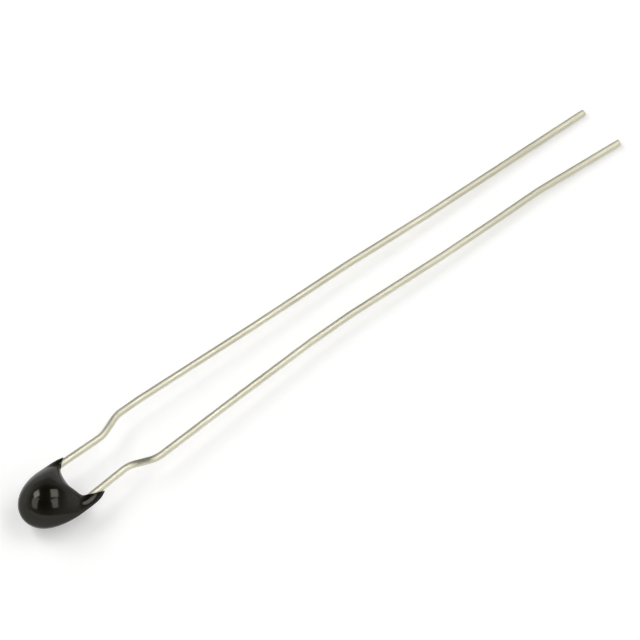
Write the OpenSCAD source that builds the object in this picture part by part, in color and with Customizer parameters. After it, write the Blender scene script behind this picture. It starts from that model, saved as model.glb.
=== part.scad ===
// Epoxy-dipped bead thermistor with two kinked wire leads.
// It lies on its side: the belly of the bead and the two cut ends touch z = 0.
// X runs along the leads, from the bead to the cut ends. Y runs across them, left lead at +Y.
// The origin is on the surface it lies on, half way along.

/* [Leads] */
// Diameter of the lead wire
wire_d = 0.5; // [0.4:0.05:0.55]
// Distance between the leads where they leave the coating
lead_pitch = 3.3; // [3.2:0.1:3.6]
// Reach of the leads beyond the coating
lead_len = 47.4; // [46:0.2:60]
// How much farther the right lead reaches than the left
cut_skew = 0.2; // [0:0.1:1]
// Straight end of each lead that goes into a board or a socket
plug_len = 6; // [3:0.5:6]
// Bevel left by the cutter on the ends of the leads
cut_bevel = 0.06; // [0.02:0.02:0.12]
// Angle at which the pair of leads comes out of the coating, from the line along X
lead_turn = 2.9; // [0:0.1:4]
// Angle at which each lead leans towards the other between the coating and its kink
pinch_angle = 2.3; // [0:0.1:3]

/* [Kinks] */
// Distance from the coating to the outward kink
kink_start = 3.3; // [2.6:0.1:4.5]
// How much sooner the kink of the right lead comes than that of the left
kink_stagger = 0.3; // [0:0.1:0.8]
// Length of a kink along the lead
kink_len = 1.85; // [1.6:0.05:2.4]
// Outward step of a kink
kink_out = 0.75; // [0.4:0.05:0.9]
// Bend radius of the wire at a kink
kink_bend_r = 2.4; // [1.2:0.2:3]
// Bend radius of the wire at the slight bends beyond the kinks
drift_bend_r = 15; // [8:1:20]

/* [Coating] */
// Length of the coating, from the middle of its edges on the leads to its round end
coat_len = 5.15; // [5.1:0.05:5.7]
// Width of the coating across both leads
coat_w = 4.5; // [4.4:0.05:4.9]
// How much farther the coating bulges past the right lead than past the left
lopsidedness = 0.26; // [0:0.02:0.3]
// Thickness of the coating at the belly
coat_t = 3.6; // [3.4:0.05:4]
// Distance from the edges on the leads to the widest place of the coating
widest_at = 1.85; // [1.7:0.05:2.1]
// Depth of the notch between the two leads, from the edges on the leads
notch_depth = 1.2; // [1:0.02:1.3]
// Thickness of the thin film where the coating ends on a lead
film_t = 0.05; // [0.04:0.01:0.08]
// How far the bottom of the notch lies from the middle, towards the right lead
notch_shift = 0.5; // [0:0.02:0.6]
// Angle by which the bead is turned from the line along X
head_turn = 1.5; // [0:0.1:3]

/* [Sensing chip] */
// Diameter of the ceramic chip
chip_d = 2.4; // [2.2:0.05:2.5]
// Thickness of the ceramic chip
chip_t = 0.8; // [0.6:0.05:0.85]
// Distance from the coating's edges on the leads to the middle of the chip
chip_at = 3.45; // [3.4:0.05:3.55]
// Thickness of the silver electrode on each face of the chip
electrode_t = 0.03; // [0.02:0.01:0.04]
// Bare rim of the chip around an electrode
electrode_margin = 0.12; // [0.1:0.02:0.2]
// Solder between an electrode and the lead that crosses it
solder_gap = 0.03; // [0.02:0.01:0.04]
// Thickness of the solder around the wire
solder_wall = 0.16; // [0.12:0.02:0.18]
// Distance between the lead and the chip's middle line where it crosses the chip
cross_at = 0.45; // [0.35:0.05:0.55]
// Length of wire that is soldered down
soldered_len = 0.95; // [0.8:0.05:1]

/* [Hidden] */
$fn = 48;

// The sides: the right half is the left one with Y turned round.
LEFT = 1;
RIGHT = -1;

// Slight bends of the leads, as [share of the way from the kink to the tip, outward drift there].
LEFT_DRIFT = [[0, 0], [0.048, 0.05], [0.286, -0.14], [0.488, -0.18], [0.654, -0.4], [1, -0.54]];
RIGHT_DRIFT = [[0, 0], [0.188, -0.5], [0.346, -0.87], [0.428, -0.94], [0.629, -0.76], [0.746, -0.77],
    [0.831, -0.82], [1, -0.45]];

// Slanted edges of the coating on the leads: where the inner and outer sides end, past x = 0,
// and how steeply the edge falls back over the top of the wire.
LEFT_EDGE = [-0.55, 0.18, 0];
RIGHT_EDGE = [-0.77, 0.45, 1.6];
LEAN_ONSET = 4;

// Form of the coating: share of a half that is the round end, how full its curves are, and how far
// its crest leans towards the notch.
ROUND_SHARE = 0.81;
FLANK_FULLNESS = 4.2;
NOTCH_FULLNESS = 1.45;
SHOULDER_SLOPE = 0.8;
CREST_SKEW = 0.36;

// Fineness of the coating. The rings crowd towards the leads, where it turns most.
COAT_RINGS = 60;
RING_POINTS = 36;
RING_CROWDING = 1.5;

// Fineness of the leads: sides of the bent wire, and the largest turn between two of its rings.
// The flats of the bent wire lie just outside the round plug ends, whose roots it covers.
WIRE_SIDES = 20;
ARC_STEP = 11;
FLAT_MARGIN = 0.002;
PLUG_ROOT = 0.2;

// The joggle that brings a lead from the middle plane onto its face of the chip.
JOGGLE_ANGLE = 55;
JOGGLE_BEND_R = 0.5;
JOGGLE_START = 1.2;

wire_r = wire_d / 2;
lead_y = lead_pitch / 2;
bent_wire_r = (wire_r + FLAT_MARGIN) / cos(180 / WIRE_SIDES);
skin_r = wire_r + film_t;
belly_x = -(coat_len + notch_depth) / 2;

// Height of the wire's centre over the chip's middle plane where it crosses the chip.
electrode_top_z = chip_t / 2 + electrode_t;
cross_z = electrode_top_z + solder_gap + wire_r;
joggle_len = norm([lead_y - cross_at, cross_z]) / tan(JOGGLE_ANGLE);
wire_end_x = -chip_at - soldered_len / 2;

// At rest the lead plane falls from the belly's half thickness to a wire's radius at the tips.
rest_tilt = asin((coat_t / 2 - wire_r) / (lead_len - belly_x));
rest_height = coat_t / 2 + belly_x * sin(rest_tilt);
mid_x = (lead_len + cut_skew / 2 - coat_len) / 2;

function unit(v) = v / norm(v);
function heading(v) = atan2(v[1], v[0]);
function turned(v, a) = [v[0] * cos(a) - v[1] * sin(a), v[0] * sin(a) + v[1] * cos(a)];
function mix(a, b, t) = a + (b - a) * t;
function power(base, exponent) = base <= 0 ? 0 : pow(base, exponent);

// Lead routes

function kink_x(side) = kink_start + side * kink_stagger / 2;
function tip_x(side) = lead_len - side * cut_skew / 2;
function drift(side) = side == LEFT ? LEFT_DRIFT : RIGHT_DRIFT;
function exit_point(side) = turned([0, side * lead_y], head_turn);
function exit_heading(side) = lead_turn - side * pinch_angle;

// A point given in the frame of one lead: x out of the coating, y outwards, z up on the left.
function on_lead(side, p) =
    let (flat = exit_point(side) + turned([p[0], side * p[1]], exit_heading(side)))
    [flat[0], flat[1], side * p[2]];

// The lead's course beyond its kink: the end of the kink first, the tip last.
function far_route(side) =
    let (kink_end = on_lead(side, [kink_x(side), 0, 0]) + [kink_len, side * kink_out, 0])
    [for (d = drift(side))
        [mix(kink_end[0], tip_x(side), d[0]), kink_end[1] + side * d[1], 0]];

// From the wire's end on the chip, off its face, out of the coating and to the cut end.
function lead_route(side) =
    concat(
        [
            on_lead(side, [wire_end_x, cross_at - lead_y, cross_z]),
            on_lead(side, [-JOGGLE_START - joggle_len, cross_at - lead_y, cross_z]),
            on_lead(side, [-JOGGLE_START, 0, 0]),
            on_lead(side, [kink_x(side), 0, 0])
        ],
        far_route(side)
    );

function lead_radii(side) =
    concat(
        [0, JOGGLE_BEND_R, JOGGLE_BEND_R, kink_bend_r, kink_bend_r],
        [for (i = [1 : len(drift(side)) - 1]) drift_bend_r]
    );

// Rounded corner of a route at point i, as [point, direction] pairs: one pair at an end.
function corner(route, radii, i) =
    i == 0 ? [[route[0], unit(route[1] - route[0])]]
    : i == len(route) - 1 ? [[route[i], unit(route[i] - route[i - 1])]]
    : let (
        before = unit(route[i] - route[i - 1]),
        after = unit(route[i + 1] - route[i]),
        turn = acos(min(1, before * after)),
        reach = radii[i] * tan(turn / 2),
        inward = unit(after - before * (before * after)),
        steps = ceil(turn / ARC_STEP)
    )
    [for (k = [0 : steps])
        let (a = turn * k / steps)
        [
            route[i] - before * (reach - radii[i] * sin(a)) + inward * radii[i] * (1 - cos(a)),
            before * cos(a) + inward * sin(a)
        ]];

// Polygon of the wire's section around a point of its route.
function wire_ring(point, way) =
    let (across = unit(cross([0, 0, 1], way)), above = cross(way, across))
    [for (k = [0 : WIRE_SIDES - 1])
        let (a = 360 * k / WIRE_SIDES)
        point + bent_wire_r * (across * cos(a) + above * sin(a))];

// Closed skin over a list of rings that have the same number of points.
module skin(rings) {
    n = len(rings[0]);
    last = len(rings) - 1;
    walls = [for (i = [0 : last - 1], k = [0 : n - 1])
        let (a = i * n, b = a + n, next = (k + 1) % n)
        [a + k, b + k, b + next, a + next]];
    caps = [[for (k = [0 : n - 1]) k], [for (k = [0 : n - 1]) last * n + n - 1 - k]];
    polyhedron(points = [for (ring = rings, p = ring) p], faces = concat(walls, caps));
}

// Round end of a lead that plugs in, with the cutter's bevel. Its root lies inside the bent wire.
module plug_end(tip, way) {
    body_len = PLUG_ROOT + plug_len - cut_bevel;
    translate(tip - way * (PLUG_ROOT + plug_len))
        rotate([0, 90, heading(way)]) {
            cylinder(r = wire_r, h = body_len);
            translate([0, 0, body_len])
                cylinder(r1 = wire_r, r2 = wire_r - cut_bevel, h = cut_bevel);
        }
}

// Bent wire from the chip to the plug end, then the plug end.
module lead_form(side) {
    full = lead_route(side);
    last = len(full) - 1;
    way = unit(full[last] - full[last - 1]);
    bent = [for (i = [0 : last]) i < last ? full[i] : full[i] - way * plug_len];
    radii = lead_radii(side);
    skin([for (i = [0 : last], c = corner(bent, radii, i)) wire_ring(c[0], c[1])]);
    plug_end(full[last], way);
}

// Sensing chip

module on_chip() {
    rotate([0, 0, head_turn])
        translate([-chip_at, 0, 0])
            children();
}

module chip_form() {
    on_chip()
        cylinder(d = chip_d, h = chip_t, center = true);
}

module electrode_form(side) {
    on_chip()
        translate([0, 0, side * (chip_t + electrode_t) / 2])
            cylinder(d = chip_d - 2 * electrode_margin, h = electrode_t, center = true);
}

// Rounded bead of solder along the wire, flat where it wets the electrode.
module solder_form(side) {
    bead_r = wire_r + solder_wall;
    inner = on_lead(side, [wire_end_x, cross_at - lead_y, cross_z]);
    difference() {
        intersection() {
            translate(inner)
                rotate([0, 0, exit_heading(side)]) {
                    sphere(r = bead_r);
                    rotate([0, 90, 0])
                        cylinder(r = bead_r, h = soldered_len);
                    translate([soldered_len, 0, 0])
                        sphere(r = bead_r);
                }
            translate([inner[0], inner[1], side * (electrode_top_z + coat_t / 2)])
                cube([2 * chip_d, 2 * chip_d, coat_t], center = true);
        }
        lead_form(side);
    }
}

// Coating

function edge(side) = side == LEFT ? LEFT_EDGE : RIGHT_EDGE;

// Notch between the leads: s runs from 0 at its bottom to 1 at the coating's edge on a lead.
function notch_point(side, s) =
    [
        mix(edge(side)[0], -notch_depth, power(cos(90 * s), 2 / NOTCH_FULLNESS)),
        mix(-notch_shift, side * (lead_y - skin_r), power(sin(90 * s), 2 / NOTCH_FULLNESS))
    ];

// From 0 to 1 with t, at the given pace at first.
function eased(t, pace) = pace * t + (1 - pace) * t * t;

// Outline: half an ellipse round the end, then a flank that closes in on the lead. The flank sets
// out at the pace at which the ellipse ends, which leaves no crease across the coating.
function outline_point(side, s) =
    let (
        half_w = (coat_w - side * lopsidedness) / 2,
        a = 90 * s / ROUND_SHARE,
        end_pace = (coat_len - widest_at) * PI / 2 / ROUND_SHARE,
        flank_pace = (widest_at + edge(side)[1]) / (1 - ROUND_SHARE),
        f = eased((s - ROUND_SHARE) / (1 - ROUND_SHARE), end_pace / flank_pace)
    )
    s < ROUND_SHARE
        ? [-widest_at - (coat_len - widest_at) * cos(a), side * half_w * sin(a)]
        : [
            mix(-widest_at, edge(side)[1], f),
            side * mix(half_w, lead_y + skin_r, power(f, FLANK_FULLNESS))
        ];

// Half thickness: full at the belly, the film on the wire at the edge.
function half_thickness(s) = mix(skin_r, coat_t / 2, power((1 + cos(180 * s)) / 2, SHOULDER_SLOPE));

// One ring of the coating, from the notch to the outline and back underneath.
// The rings run from u = -1 on the right lead over 0 at the belly to 1 on the left lead.
function coat_ring(u) =
    let (
        side = u < 0 ? RIGHT : LEFT,
        s = 1 - pow(1 - abs(u), RING_CROWDING),
        inner = notch_point(side, s),
        outer = outline_point(side, s),
        middle = (inner + outer) / 2,
        reach = (outer - inner) / 2,
        lean = edge(side)[2] * pow(s, LEAN_ONSET),
        skew = CREST_SKEW * (pow(s, 2) - pow(s, 12))
    )
    [for (k = [0 : RING_POINTS - 1])
        let (
            a = 360 * k / RING_POINTS,
            p = middle + reach * (cos(a) - skew * pow(sin(a), 2)),
            z = half_thickness(s) * sin(a)
        )
        [p[0] - lean * z, p[1], z]];

module coat_form() {
    rotate([0, 0, head_turn])
        skin([for (i = [0 : COAT_RINGS]) coat_ring(2 * i / COAT_RINGS - 1)]);
}

// Nodes

module at_rest() {
    translate([-mid_x, 0, rest_height])
        rotate([0, rest_tilt, 0])
            children();
}

module epoxy_coating() {
    color([0.06, 0.06, 0.05])
        at_rest()
            difference() {
                coat_form();
                chip_form();
                for (side = [LEFT, RIGHT]) {
                    electrode_form(side);
                    solder_form(side);
                    lead_form(side);
                }
            }
}

module ntc_chip() {
    color([0.25, 0.24, 0.25])
        at_rest() chip_form();
}

module electrode_top() {
    color([0.85, 0.85, 0.83])
        at_rest() electrode_form(LEFT);
}

module electrode_bottom() {
    color([0.85, 0.85, 0.83])
        at_rest() electrode_form(RIGHT);
}

module solder_top() {
    color([0.72, 0.73, 0.75])
        at_rest() solder_form(LEFT);
}

module solder_bottom() {
    color([0.72, 0.73, 0.75])
        at_rest() solder_form(RIGHT);
}

module lead_left() {
    color([0.78, 0.77, 0.7])
        at_rest() lead_form(LEFT);
}

module lead_right() {
    color([0.78, 0.77, 0.7])
        at_rest() lead_form(RIGHT);
}

epoxy_coating();
ntc_chip();
electrode_top();
electrode_bottom();
solder_top();
solder_bottom();
lead_left();
lead_right();
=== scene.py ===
# Looks of a bead thermistor: a glossy black dipped coating on two tinned wire leads, on a plain
# white table under two long lamps. Lengths of the part are in millimetres until a mesh is made of
# them. Those of the table, the lamps and the camera's place are in metres.
from math import acos, asin, ceil, cos, pi, radians, sin, sqrt, tan

import bpy
from mathutils import Matrix, Vector


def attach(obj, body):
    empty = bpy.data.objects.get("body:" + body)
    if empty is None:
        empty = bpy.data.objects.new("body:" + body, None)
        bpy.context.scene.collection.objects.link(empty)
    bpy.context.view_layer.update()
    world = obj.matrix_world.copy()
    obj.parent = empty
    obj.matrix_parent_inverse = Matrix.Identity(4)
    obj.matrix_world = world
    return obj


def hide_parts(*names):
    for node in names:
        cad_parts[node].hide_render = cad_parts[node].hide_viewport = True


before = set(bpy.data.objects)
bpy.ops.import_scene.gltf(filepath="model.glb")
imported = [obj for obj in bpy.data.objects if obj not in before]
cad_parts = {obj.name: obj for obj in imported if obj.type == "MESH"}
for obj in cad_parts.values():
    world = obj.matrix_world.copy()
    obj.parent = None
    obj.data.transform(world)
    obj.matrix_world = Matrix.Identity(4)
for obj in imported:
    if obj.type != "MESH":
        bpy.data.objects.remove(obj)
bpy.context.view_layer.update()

MM = 0.001
LEFT = 1
RIGHT = -1
UP = Vector((0, 0, 1))
WIRE_UV = "along_wire"

# Sizes of the part, the same as in its CAD source. First the leads.
WIRE_R = 0.25
LEAD_Y = 1.65
LEAD_LEN = 47.4
CUT_SKEW = 0.2
LEAD_TURN = 2.9
PINCH_ANGLE = 2.3
KINK_START = 3.3
KINK_STAGGER = 0.3
KINK_LEN = 1.85
KINK_OUT = 0.75
KINK_BEND_R = 2.4
DRIFT_BEND_R = 15
# Slight hand bends of each lead: (share of the way from its kink to its tip, distance outwards).
DRIFT = {
    LEFT: [(0, 0), (0.048, 0.05), (0.286, -0.14), (0.488, -0.18), (0.654, -0.4), (1, -0.54)],
    RIGHT: [
        (0, 0), (0.188, -0.5), (0.346, -0.87), (0.428, -0.94),
        (0.629, -0.76), (0.746, -0.77), (0.831, -0.82), (1, -0.45),
    ],
}

# The leads inside the coating: soldered across the chip, then joggled to the middle plane.
CHIP_T = 0.8
CHIP_AT = 3.45
ELECTRODE_T = 0.03
SOLDER_GAP = 0.03
CROSS_AT = 0.45
SOLDERED_LEN = 0.95
JOGGLE_ANGLE = 55
JOGGLE_BEND_R = 0.5
JOGGLE_START = 1.2

# Coating
COAT_LEN = 5.15
COAT_W = 4.5
LOPSIDEDNESS = 0.26
COAT_T = 3.6
WIDEST_AT = 1.85
NOTCH_DEPTH = 1.2
NOTCH_SHIFT = 0.5
FILM_T = 0.05
HEAD_TURN = 1.5
# Where the coating ends on each lead: (x on its inner side, x on its outer side, lean with height).
EDGE = {LEFT: (-0.55, 0.18, 0), RIGHT: (-0.77, 0.45, 1.6)}
LEAN_ONSET = 4
ROUND_SHARE = 0.81
FLANK_FULLNESS = 4.2
NOTCH_FULLNESS = 1.45
SHOULDER_SLOPE = 0.8
CREST_SKEW = 0.36
CREST_SKEW_ONSET = 2
CREST_SKEW_END = 12
RING_CROWDING = 1.5

# How the part lies: the leads fall from the belly of the bead to their tips on the table.
SKIN_R = WIRE_R + FILM_T
BELLY_X = -(COAT_LEN + NOTCH_DEPTH) / 2
REST_TILT = asin((COAT_T / 2 - WIRE_R) / (LEAD_LEN - BELLY_X))
REST_HEIGHT = COAT_T / 2 + BELLY_X * sin(REST_TILT)
MID_X = (LEAD_LEN + CUT_SKEW / 2 - COAT_LEN) / 2
AT_REST = Matrix.Translation((-MID_X, 0, REST_HEIGHT)) @ Matrix.Rotation(REST_TILT, 4, "Y")

# Fineness of the meshes
COAT_RINGS = 300
COAT_RING_POINTS = 128
WIRE_SIDES = 40
ARC_STEP = radians(2)
RING_SPACING = 0.12
END_ROUNDING_STEPS = [radians(degrees) for degrees in (0, 25, 50, 75, 90)]


def mix(a, b, t):
    return a + (b - a) * t


def power(base, exponent):
    """The base to the exponent, or 0 where the base is 0 or rounding leaves it just under."""
    return 0 if base <= 0 else base**exponent


def turned(x, y, degrees):
    a = radians(degrees)
    return x * cos(a) - y * sin(a), x * sin(a) + y * cos(a)


def add_object(name, data):
    item = bpy.data.objects.new(name, data)
    bpy.context.scene.collection.objects.link(item)
    return item


def mesh_object(name, points, faces, replaced):
    """A smooth mesh from points in the part's own frame, laid at rest, in place of a CAD node."""
    mesh = bpy.data.meshes.new(name)
    mesh.from_pydata([AT_REST @ Vector(p) * MM for p in points], [], faces)
    mesh.polygons.foreach_set("use_smooth", [True] * len(mesh.polygons))
    piece = add_object(name, mesh)
    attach(piece, "root")
    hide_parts(replaced)
    return piece


def tube_faces(ring_count, sides):
    """Faces of a closed skin over rings, whose caps are fans on two extra points at the end."""
    faces = []
    for i in range(ring_count - 1):
        for k in range(sides):
            a, b, step = i * sides, (i + 1) * sides, (k + 1) % sides
            faces.append((a + k, a + step, b + step, b + k))
    last = (ring_count - 1) * sides
    start_point = ring_count * sides
    for k in range(sides):
        step = (k + 1) % sides
        faces.append((step, k, start_point))
        faces.append((last + k, last + step, start_point + 1))
    return faces


# Coating


def eased(t, pace):
    """From 0 to 1 with t, at the given pace at first."""
    return pace * t + (1 - pace) * t * t


def notch_point(side, s):
    """Notch between the leads: s runs from 0 at its bottom to 1 at the coating's edge on a lead."""
    along = power(cos(s * pi / 2), 2 / NOTCH_FULLNESS)
    across = power(sin(s * pi / 2), 2 / NOTCH_FULLNESS)
    return mix(EDGE[side][0], -NOTCH_DEPTH, along), mix(-NOTCH_SHIFT, side * (LEAD_Y - SKIN_R), across)


def outline_point(side, s):
    """Outline: half an ellipse round the end, then a flank that sets out at the ellipse's pace."""
    half_w = (COAT_W - side * LOPSIDEDNESS) / 2
    if s < ROUND_SHARE:
        a = s / ROUND_SHARE * pi / 2
        return -WIDEST_AT - (COAT_LEN - WIDEST_AT) * cos(a), side * half_w * sin(a)
    end_pace = (COAT_LEN - WIDEST_AT) * pi / 2 / ROUND_SHARE
    flank_pace = (WIDEST_AT + EDGE[side][1]) / (1 - ROUND_SHARE)
    f = eased((s - ROUND_SHARE) / (1 - ROUND_SHARE), end_pace / flank_pace)
    y = mix(half_w, LEAD_Y + SKIN_R, power(f, FLANK_FULLNESS))
    return mix(-WIDEST_AT, EDGE[side][1], f), side * y


def half_thickness(s):
    """Half the coating's thickness, from the bead's at s = 0 to a film on the wire at s = 1."""
    return mix(SKIN_R, COAT_T / 2, power((1 + cos(pi * s)) / 2, SHOULDER_SLOPE))


def coat_ring(u):
    """One ring of the coating: u runs from -1 on the right lead to 1 on the left lead."""
    side = RIGHT if u < 0 else LEFT
    s = 1 - (1 - abs(u)) ** RING_CROWDING
    inner = Vector(notch_point(side, s))
    outer = Vector(outline_point(side, s))
    middle, reach = (inner + outer) / 2, (outer - inner) / 2
    lean = EDGE[side][2] * s**LEAN_ONSET
    skew = CREST_SKEW * (s**CREST_SKEW_ONSET - s**CREST_SKEW_END)
    ring = []
    for k in range(COAT_RING_POINTS):
        a = 2 * pi * k / COAT_RING_POINTS
        z = half_thickness(s) * sin(a)
        x, y = middle + reach * (cos(a) - skew * sin(a) ** 2)
        ring.append((*turned(x - lean * z, y, HEAD_TURN), z))
    return ring


def make_coating():
    rings = [coat_ring(2 * i / COAT_RINGS - 1) for i in range(COAT_RINGS + 1)]
    points = [p for ring in rings for p in ring]
    for ring in (rings[0], rings[-1]):
        points.append(tuple(sum(c) / len(ring) for c in zip(*ring)))
    faces = tube_faces(len(rings), COAT_RING_POINTS)
    return mesh_object("coating", points, faces, "epoxy_coating")


# Leads


def on_lead(side, x, y, z):
    """A point given in the frame of one lead: x out of the coating, y outwards, z up on the left."""
    exit_x, exit_y = turned(0, side * LEAD_Y, HEAD_TURN)
    dx, dy = turned(x, side * y, LEAD_TURN - side * PINCH_ANGLE)
    return Vector((exit_x + dx, exit_y + dy, side * z))


def lead_route(side):
    """From the wire's end on the chip, off its face, out of the coating and to the cut end."""
    cross_z = CHIP_T / 2 + ELECTRODE_T + SOLDER_GAP + WIRE_R
    inward = CROSS_AT - LEAD_Y
    joggle_len = sqrt(inward**2 + cross_z**2) / tan(radians(JOGGLE_ANGLE))
    kink_x = KINK_START + side * KINK_STAGGER / 2
    kink = on_lead(side, kink_x, 0, 0)
    kink_end = kink + Vector((KINK_LEN, side * KINK_OUT, 0))
    tip_x = LEAD_LEN - side * CUT_SKEW / 2
    return [
        on_lead(side, -CHIP_AT - SOLDERED_LEN / 2, inward, cross_z),
        on_lead(side, -JOGGLE_START - joggle_len, inward, cross_z),
        on_lead(side, -JOGGLE_START, 0, 0),
        kink,
    ] + [
        Vector((mix(kink_end.x, tip_x, share), kink_end.y + side * out, 0))
        for share, out in DRIFT[side]
    ]


def rounded_corner(before, at, after, radius):
    """Corner of a route, rounded, as (point, direction) pairs."""
    d_in, d_out = (at - before).normalized(), (after - at).normalized()
    turn = acos(min(1, d_in.dot(d_out)))
    inward = (d_out - d_in * d_in.dot(d_out)).normalized()
    steps = max(1, ceil(turn / ARC_STEP))
    pairs = []
    for k in range(steps + 1):
        a = turn * k / steps
        back = radius * (tan(turn / 2) - sin(a))
        pairs.append((at - d_in * back + inward * radius * (1 - cos(a)), d_in * cos(a) + inward * sin(a)))
    return pairs


def lead_stations(side):
    """Closely spaced (point, direction, length from the start) along a lead."""
    route = lead_route(side)
    radii = [JOGGLE_BEND_R, JOGGLE_BEND_R, KINK_BEND_R, KINK_BEND_R]
    radii += [DRIFT_BEND_R] * (len(DRIFT[side]) - 2)
    pairs = [(route[0], (route[1] - route[0]).normalized())]
    for i, radius in enumerate(radii, start=1):
        pairs += rounded_corner(route[i - 1], route[i], route[i + 1], radius)
    pairs.append((route[-1], (route[-1] - route[-2]).normalized()))
    stations = [(*pairs[0], 0.0)]
    for point, way in pairs[1:]:
        start, start_way, done = stations[-1]
        gap = (point - start).length
        parts = max(1, ceil(gap / RING_SPACING))
        for k in range(1, parts + 1):
            t = k / parts
            stations.append((start.lerp(point, t), start_way.lerp(way, t).normalized(), done + gap * t))
    return stations


def wire_ring(point, way, radius, slant=0):
    """Ring round the wire. A slant moves one side of it ahead and the other back."""
    across = UP.cross(way).normalized()
    above = way.cross(across)
    ring = []
    for k in range(WIRE_SIDES):
        a = 2 * pi * k / WIRE_SIDES
        side_way = across * cos(a) + above * sin(a)
        ring.append(point + side_way * radius + way * slant * radius * cos(a))
    return ring


def end_rings(point, way, rounding, slant):
    """The cut end: a rounded edge, which leans where the cutter came through at a slant."""
    rings = []
    for a in END_ROUNDING_STEPS:
        radius = WIRE_R - rounding * (1 - cos(a))
        rings.append(wire_ring(point - way * rounding * (1 - sin(a)), way, radius, slant))
    return rings


def lay_uv(mesh, lengths):
    """Length along the wire and way round it, both in millimetres, for the grain of the drawn wire."""
    layer = mesh.uv_layers.new(name=WIRE_UV)
    around = 2 * pi * WIRE_R / WIRE_SIDES
    for polygon in mesh.polygons:
        columns = [v % WIRE_SIDES for v in polygon.vertices if v < len(lengths) * WIRE_SIDES]
        wraps = max(columns) - min(columns) > WIRE_SIDES / 2
        for loop, vertex in zip(polygon.loop_indices, polygon.vertices):
            row, column = min(vertex // WIRE_SIDES, len(lengths) - 1), vertex % WIRE_SIDES
            if wraps and column < WIRE_SIDES / 2:
                column += WIRE_SIDES
            layer.data[loop].uv = (lengths[row], column * around)


def make_lead(side, name, node, rounding, slant):
    """A lead whose cut end has an edge of the given rounding and a face of the given slope."""
    stations = lead_stations(side)
    tip, tip_way, full = stations[-1]
    cut = tip - tip_way * abs(slant) * WIRE_R
    reach = rounding + abs(slant) * WIRE_R
    body = [(p, w, s) for p, w, s in stations if s < full - reach - RING_SPACING / 2]
    end = end_rings(cut, tip_way, rounding, slant)
    rings = [wire_ring(p, w, WIRE_R) for p, w, _ in body] + end
    lengths = [s for _, _, s in body] + [full] * len(end)
    points = [p for ring in rings for p in ring]
    points += [body[0][0], cut]
    piece = mesh_object(name, points, tube_faces(len(rings), WIRE_SIDES), node)
    lay_uv(piece.data, lengths)
    return piece


# Nodes of the materials

NOISE_LOW = 0.3
NOISE_HIGH = 0.7
DARK_BELOW = 0.35
LIGHT_ABOVE = 0.65


def new_material(name):
    material = bpy.data.materials.new(name)
    material.use_nodes = True
    nodes = material.node_tree.nodes
    return material, nodes, material.node_tree.links, nodes["Principled BSDF"]


def noise(nodes, links, vector, size, detail=2.0, scale=(1, 1, 1)):
    """Noise with features of about the given size, in the vector's own unit."""
    mapping = nodes.new("ShaderNodeMapping")
    mapping.inputs["Scale"].default_value = scale
    texture = nodes.new("ShaderNodeTexNoise")
    texture.inputs["Scale"].default_value = 1 / size
    texture.inputs["Detail"].default_value = detail
    links.new(vector, mapping.inputs["Vector"])
    links.new(mapping.outputs["Vector"], texture.inputs["Vector"])
    return texture.outputs["Fac"]


def ramp(nodes, links, value, stops):
    """Colour ramp: stops are (position, colour)."""
    node = nodes.new("ShaderNodeValToRGB")
    elements = node.color_ramp.elements
    while len(elements) < len(stops):
        elements.new(0.5)
    for element, (position, colour) in zip(elements, stops):
        element.position = position
        element.color = (*colour, 1)
    links.new(value, node.inputs["Fac"])
    return node.outputs["Color"]


def two_shades(nodes, links, value, dark, light):
    """Noise to a colour between two shades."""
    return ramp(nodes, links, value, [(DARK_BELOW, dark), (LIGHT_ABOVE, light)])


def map_range(nodes, links, value, start, end, low, high):
    """Value from start..end to low..high, and held there outside."""
    node = nodes.new("ShaderNodeMapRange")
    node.inputs["From Min"].default_value = start
    node.inputs["From Max"].default_value = end
    node.inputs["To Min"].default_value = low
    node.inputs["To Max"].default_value = high
    links.new(value, node.inputs["Value"])
    return node.outputs["Result"]


def spread(nodes, links, value, low, high):
    """Noise, which mostly lies between NOISE_LOW and NOISE_HIGH, to low..high."""
    return map_range(nodes, links, value, NOISE_LOW, NOISE_HIGH, low, high)


def maths(nodes, links, operation, *values):
    node = nodes.new("ShaderNodeMath")
    node.operation = operation
    for value, socket in zip(values, node.inputs):
        links.new(value, socket)
    return node.outputs["Value"]


def bump(nodes, links, height, distance, strength, under=None):
    """Normal of a bumpy surface, laid over another bump if one is given as under."""
    node = nodes.new("ShaderNodeBump")
    node.inputs["Distance"].default_value = distance
    node.inputs["Strength"].default_value = strength
    links.new(height, node.inputs["Height"])
    if under:
        links.new(under, node.inputs["Normal"])
    return node.outputs["Normal"]


def parts_of(nodes, links, vector):
    """X, Y and Z of a vector, as the outputs of a node."""
    node = nodes.new("ShaderNodeSeparateXYZ")
    links.new(vector, node.inputs["Vector"])
    return node.outputs


def object_coordinates(nodes):
    return nodes.new("ShaderNodeTexCoord").outputs["Object"]


# Epoxy

EPOXY_DARK = (0.0022, 0.002, 0.001)
EPOXY_LIGHT = (0.006, 0.005, 0.0022)
EPOXY_IOR = 1.46
EPOXY_GLOSS_TINT = (1, 0.99, 0.86, 1)
# Level of the gloss, from facing the eye to edge on: it is turned down where the surface slants, which
# paints the reflections there darker.
EPOXY_GLOSS = [(0.1, 0.5), (0.2, 0.38), (0.36, 0.28), (0.58, 0.08), (0.8, 0.13), (1, 0.34)]


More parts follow.
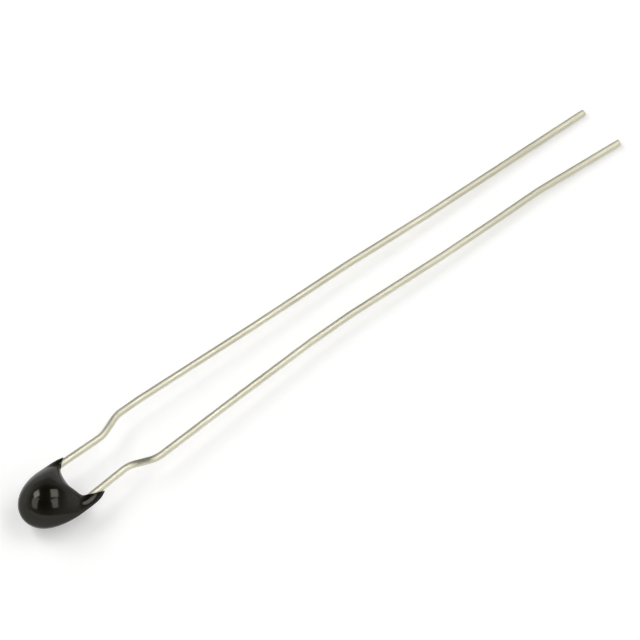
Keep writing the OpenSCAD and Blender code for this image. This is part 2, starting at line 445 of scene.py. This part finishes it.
def black_epoxy():
    """Dipped epoxy: near black with a brown cast, glossy, with slow ripples from the dip."""
    material, nodes, links, shader = new_material("black_epoxy")
    place = object_coordinates(nodes)
    tint = noise(nodes, links, place, size=1.1 * MM, detail=3)
    links.new(two_shades(nodes, links, tint, EPOXY_DARK, EPOXY_LIGHT), shader.inputs["Base Color"])
    haze = noise(nodes, links, place, size=0.5 * MM, detail=4)
    links.new(spread(nodes, links, haze, low=0.11, high=0.16), shader.inputs["Roughness"])
    waves = noise(nodes, links, place, size=0.8 * MM)
    ripple = bump(nodes, links, waves, distance=0.02 * MM, strength=0.35)
    pits = noise(nodes, links, place, size=0.12 * MM)
    peel = bump(nodes, links, pits, distance=0.002 * MM, strength=0.3, under=ripple)
    links.new(peel, shader.inputs["Normal"])
    shader.inputs["IOR"].default_value = EPOXY_IOR
    shader.inputs["Specular Tint"].default_value = EPOXY_GLOSS_TINT
    # Gloss turned down where the surface slants: painted darker reflections there.
    slant = nodes.new("ShaderNodeLayerWeight").outputs["Facing"]
    gloss = ramp(nodes, links, slant, [(position, (level,) * 3) for position, level in EPOXY_GLOSS])
    links.new(gloss, shader.inputs["Specular IOR Level"])
    return material


# Wire

TIN_COLOURS = [
    (0.15, (0.53, 0.52, 0.41)),
    (0.3, (0.61, 0.59, 0.47)),
    (0.5, (0.68, 0.66, 0.53)),
    (0.7, (0.73, 0.72, 0.59)),
]
GLOSS_STRETCH = 0.9
QUARTER_TURN = 0.25
# The wire gets darker in colour and rougher between these lengths from its end on the chip, by this much
# in all.
DULLER_FROM = 15
DULLER_TO = 45
DULLER_BY = 0.08


def tinned_wire():
    """Tinned drawn wire: warm tin with drawing lines along it, duller patches and a duller far part.

    Its gloss is stretched round the wire, across the drawing lines.
    """
    material, nodes, links, shader = new_material("tinned_wire")
    place = nodes.new("ShaderNodeUVMap")
    place.uv_map = WIRE_UV
    along = place.outputs["UV"]
    length = parts_of(nodes, links, along)["X"]
    # Darker colour and higher roughness towards the far part of the wire.
    far_dulling = map_range(nodes, links, length, DULLER_FROM, DULLER_TO, 0, DULLER_BY)
    patches = noise(nodes, links, along, size=2.2, detail=4, scale=(0.5, 1.5, 1))
    bright = maths(nodes, links, "SUBTRACT", patches, far_dulling)
    links.new(ramp(nodes, links, bright, TIN_COLOURS), shader.inputs["Base Color"])
    dull = noise(nodes, links, along, size=0.6, detail=4, scale=(0.3, 1, 1))
    rough = maths(nodes, links, "ADD", spread(nodes, links, dull, low=0.33, high=0.41), far_dulling)
    links.new(rough, shader.inputs["Roughness"])
    lines = noise(nodes, links, along, size=0.03, detail=3, scale=(0.03, 1, 1))
    grain = bump(nodes, links, lines, distance=0.003 * MM, strength=0.4)
    dents = noise(nodes, links, along, size=0.25)
    surface = bump(nodes, links, dents, distance=0.01 * MM, strength=0.35, under=grain)
    links.new(surface, shader.inputs["Normal"])
    shader.inputs["Metallic"].default_value = 1
    shader.inputs["Anisotropic"].default_value = GLOSS_STRETCH
    shader.inputs["Anisotropic Rotation"].default_value = QUARTER_TURN
    tangent = nodes.new("ShaderNodeTangent")
    tangent.direction_type = "UV_MAP"
    tangent.uv_map = WIRE_UV
    links.new(tangent.outputs["Tangent"], shader.inputs["Tangent"])
    return material


# Hidden pieces


def grained(name, dark, light, grain_size, rough, metallic):
    """Two shades of one colour in a fine grain, with roughness and bump to match."""
    material, nodes, links, shader = new_material(name)
    place = object_coordinates(nodes)
    grain = noise(nodes, links, place, grain_size, detail=4)
    links.new(two_shades(nodes, links, grain, dark, light), shader.inputs["Base Color"])
    links.new(spread(nodes, links, grain, *rough), shader.inputs["Roughness"])
    surface = bump(nodes, links, grain, distance=0.01 * MM, strength=0.5)
    links.new(surface, shader.inputs["Normal"])
    shader.inputs["Metallic"].default_value = metallic
    return material


def dress(names, material):
    """Gives a material to CAD nodes that stay as they are."""
    for name in names:
        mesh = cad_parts[name].data
        mesh.materials.clear()
        mesh.materials.append(material)


# Camera: lens and sensor are in millimetres, the rest in metres.
CAMERA_HEADING = radians(40.083)
CAMERA_ELEVATION = radians(55)
CAMERA_DISTANCE = 0.8
CAMERA_TARGET = Vector((0.0006, 0.000358, 0))
CAMERA_LENS = 649.6
SENSOR_WIDTH = 36
CAMERA_CLIP_END = 20

# Level directions as seen from the camera
TO_RIGHT = Vector((cos(CAMERA_HEADING), -sin(CAMERA_HEADING), 0))
AHEAD = Vector((sin(CAMERA_HEADING), cos(CAMERA_HEADING), 0))


def placement(x_axis, y_axis, z_axis, origin):
    """Matrix of an object with the given axes and origin."""
    place = Matrix((x_axis, y_axis, z_axis)).transposed().to_4x4()
    place.translation = origin
    return place


def make_camera():
    view = AHEAD * cos(CAMERA_ELEVATION) - UP * sin(CAMERA_ELEVATION)
    top = AHEAD * sin(CAMERA_ELEVATION) + UP * cos(CAMERA_ELEVATION)
    data = bpy.data.cameras.new("camera")
    data.lens = CAMERA_LENS
    data.sensor_width = SENSOR_WIDTH
    data.clip_end = CAMERA_CLIP_END
    camera = add_object("camera", data)
    camera.matrix_world = placement(TO_RIGHT, top, -view, CAMERA_TARGET - view * CAMERA_DISTANCE)
    bpy.context.scene.camera = camera


# Lamps
LAMP_HEIGHT = 1.2
# Two long lamps overhead, each in two panes, in units of their height:
# (middle to the right, middle ahead, width, length, turn in degrees, radiance).
PANES = [
    (0.61, 0.18, 0.57, 0.86, 13, 2.9),
    (0.92, -0.83, 0.54, 1.03, 24, 2.1),
    (-0.79, 0.47, 0.5, 1.04, 17, 4.7),
    (-1.05, -0.89, 0.8, 1.75, -20, 1.7),
]


def make_lamp(name, middle_right, middle_ahead, width, length, turn, radiance):
    data = bpy.data.lights.new(name, "AREA")
    data.shape = "RECTANGLE"
    data.size, data.size_y = width * LAMP_HEIGHT, length * LAMP_HEIGHT
    data.energy = radiance * pi * data.size * data.size_y
    middle = (TO_RIGHT * middle_right + AHEAD * middle_ahead + UP) * LAMP_HEIGHT
    spin = Matrix.Rotation(radians(turn), 4, "Z")
    add_object(name, data).matrix_world = placement(TO_RIGHT, AHEAD, UP, middle) @ spin


# Table, with the (radius, height) of its rings
TABLE_SIDES = 96
TABLE_PROFILE = [(1.6, 0), (1.75, 0.02), (1.86, 0.08), (1.9, 0.2)]
TABLE_COLOUR = (0.8, 0.8, 0.8, 1)
TABLE_LIFT = 0.35


def table_white():
    """White card. Rays from the camera, gloss and glass see it a little brighter, so it ends white."""
    material, nodes, links, shader = new_material("table_white")
    shader.inputs["Base Color"].default_value = TABLE_COLOUR
    shader.inputs["Roughness"].default_value = 1
    shader.inputs["Specular IOR Level"].default_value = 0
    path = nodes.new("ShaderNodeLightPath")
    seen = path.outputs["Is Camera Ray"]
    for kind in ("Is Glossy Ray", "Is Transmission Ray"):
        seen = maths(nodes, links, "MAXIMUM", seen, path.outputs[kind])
    lift = map_range(nodes, links, seen, 0, 1, 0, TABLE_LIFT)
    shader.inputs["Emission Color"].default_value = (1, 1, 1, 1)
    links.new(lift, shader.inputs["Emission Strength"])
    return material


def make_table():
    """White table, which turns up into a low white wall far from the part."""
    points = [(0, 0, 0)]
    faces = []
    for i, (radius, height) in enumerate(TABLE_PROFILE):
        for k in range(TABLE_SIDES):
            a = 2 * pi * k / TABLE_SIDES
            points.append((radius * cos(a), radius * sin(a), height))
            ring_start = 1 + i * TABLE_SIDES
            here, beside = ring_start + k, ring_start + (k + 1) % TABLE_SIDES
            if i == 0:
                faces.append((0, here, beside))
            else:
                faces.append((here - TABLE_SIDES, here, beside, beside - TABLE_SIDES))
    mesh = bpy.data.meshes.new("table")
    mesh.from_pydata(points, [], faces)
    table = add_object("table", mesh)
    mesh.materials.append(table_white())


# Room around the table: its colours, by the sine of the angle above the horizon.
ROOM_COLOURS = [
    (0, (0.4, 0.395, 0.38)),
    (0.3, (0.44, 0.435, 0.42)),
    (0.55, (0.16, 0.16, 0.155)),
    (0.8, (0.06, 0.06, 0.058)),
]
# It is lighter to both sides, where the lamps hang, and darker behind the eye:
# (how far a way goes there, from and to, and the strength of the room, from and to).
SIDEWAYS_LIGHTER = (0.15, 1, 1, 2.4)
AHEAD_LIGHTER = (-0.6, 0.2, 0.5, 1)


def share_along(nodes, links, way, direction):
    """How far a way goes along a direction, from -1 to 1."""
    node = nodes.new("ShaderNodeVectorMath")
    node.operation = "DOT_PRODUCT"
    node.inputs[1].default_value = direction
    links.new(way, node.inputs[0])
    return node.outputs["Value"]


def make_world():
    world = bpy.data.worlds.new("world")
    world.use_nodes = True
    bpy.context.scene.world = world
    nodes, links = world.node_tree.nodes, world.node_tree.links
    background = nodes["Background"]
    way = nodes.new("ShaderNodeTexCoord").outputs["Generated"]
    room = ramp(nodes, links, parts_of(nodes, links, way)["Z"], ROOM_COLOURS)
    links.new(room, background.inputs["Color"])
    sideways = maths(nodes, links, "ABSOLUTE", share_along(nodes, links, way, TO_RIGHT))
    sides = map_range(nodes, links, sideways, *SIDEWAYS_LIGHTER)
    front = map_range(nodes, links, share_along(nodes, links, way, AHEAD), *AHEAD_LIGHTER)
    strength = maths(nodes, links, "MULTIPLY", sides, front)
    links.new(strength, background.inputs["Strength"])


epoxy, tin = black_epoxy(), tinned_wire()
make_coating().data.materials.append(epoxy)
make_lead(LEFT, "wire_left", "lead_left", rounding=0.1, slant=0.0).data.materials.append(tin)
make_lead(RIGHT, "wire_right", "lead_right", rounding=0.03, slant=0.12).data.materials.append(tin)
ceramic = grained(
    "ntc_ceramic",
    dark=(0.06, 0.055, 0.055),
    light=(0.1, 0.095, 0.095),
    grain_size=0.08 * MM,
    rough=(0.6, 0.85),
    metallic=0,
)
silver = grained(
    "fired_silver",
    dark=(0.72, 0.72, 0.69),
    light=(0.86, 0.86, 0.83),
    grain_size=0.05 * MM,
    rough=(0.4, 0.6),
    metallic=1,
)
solder = grained(
    "solder",
    dark=(0.55, 0.56, 0.58),
    light=(0.68, 0.69, 0.71),
    grain_size=0.15 * MM,
    rough=(0.25, 0.4),
    metallic=1,
)
dress(["ntc_chip"], ceramic)
dress(["electrode_top", "electrode_bottom"], silver)
dress(["solder_top", "solder_bottom"], solder)
make_table()
for i, pane in enumerate(PANES):
    make_lamp(f"lamp_{i}", *pane)
make_camera()
make_world()
bpy.context.scene.view_settings.view_transform = "Standard"
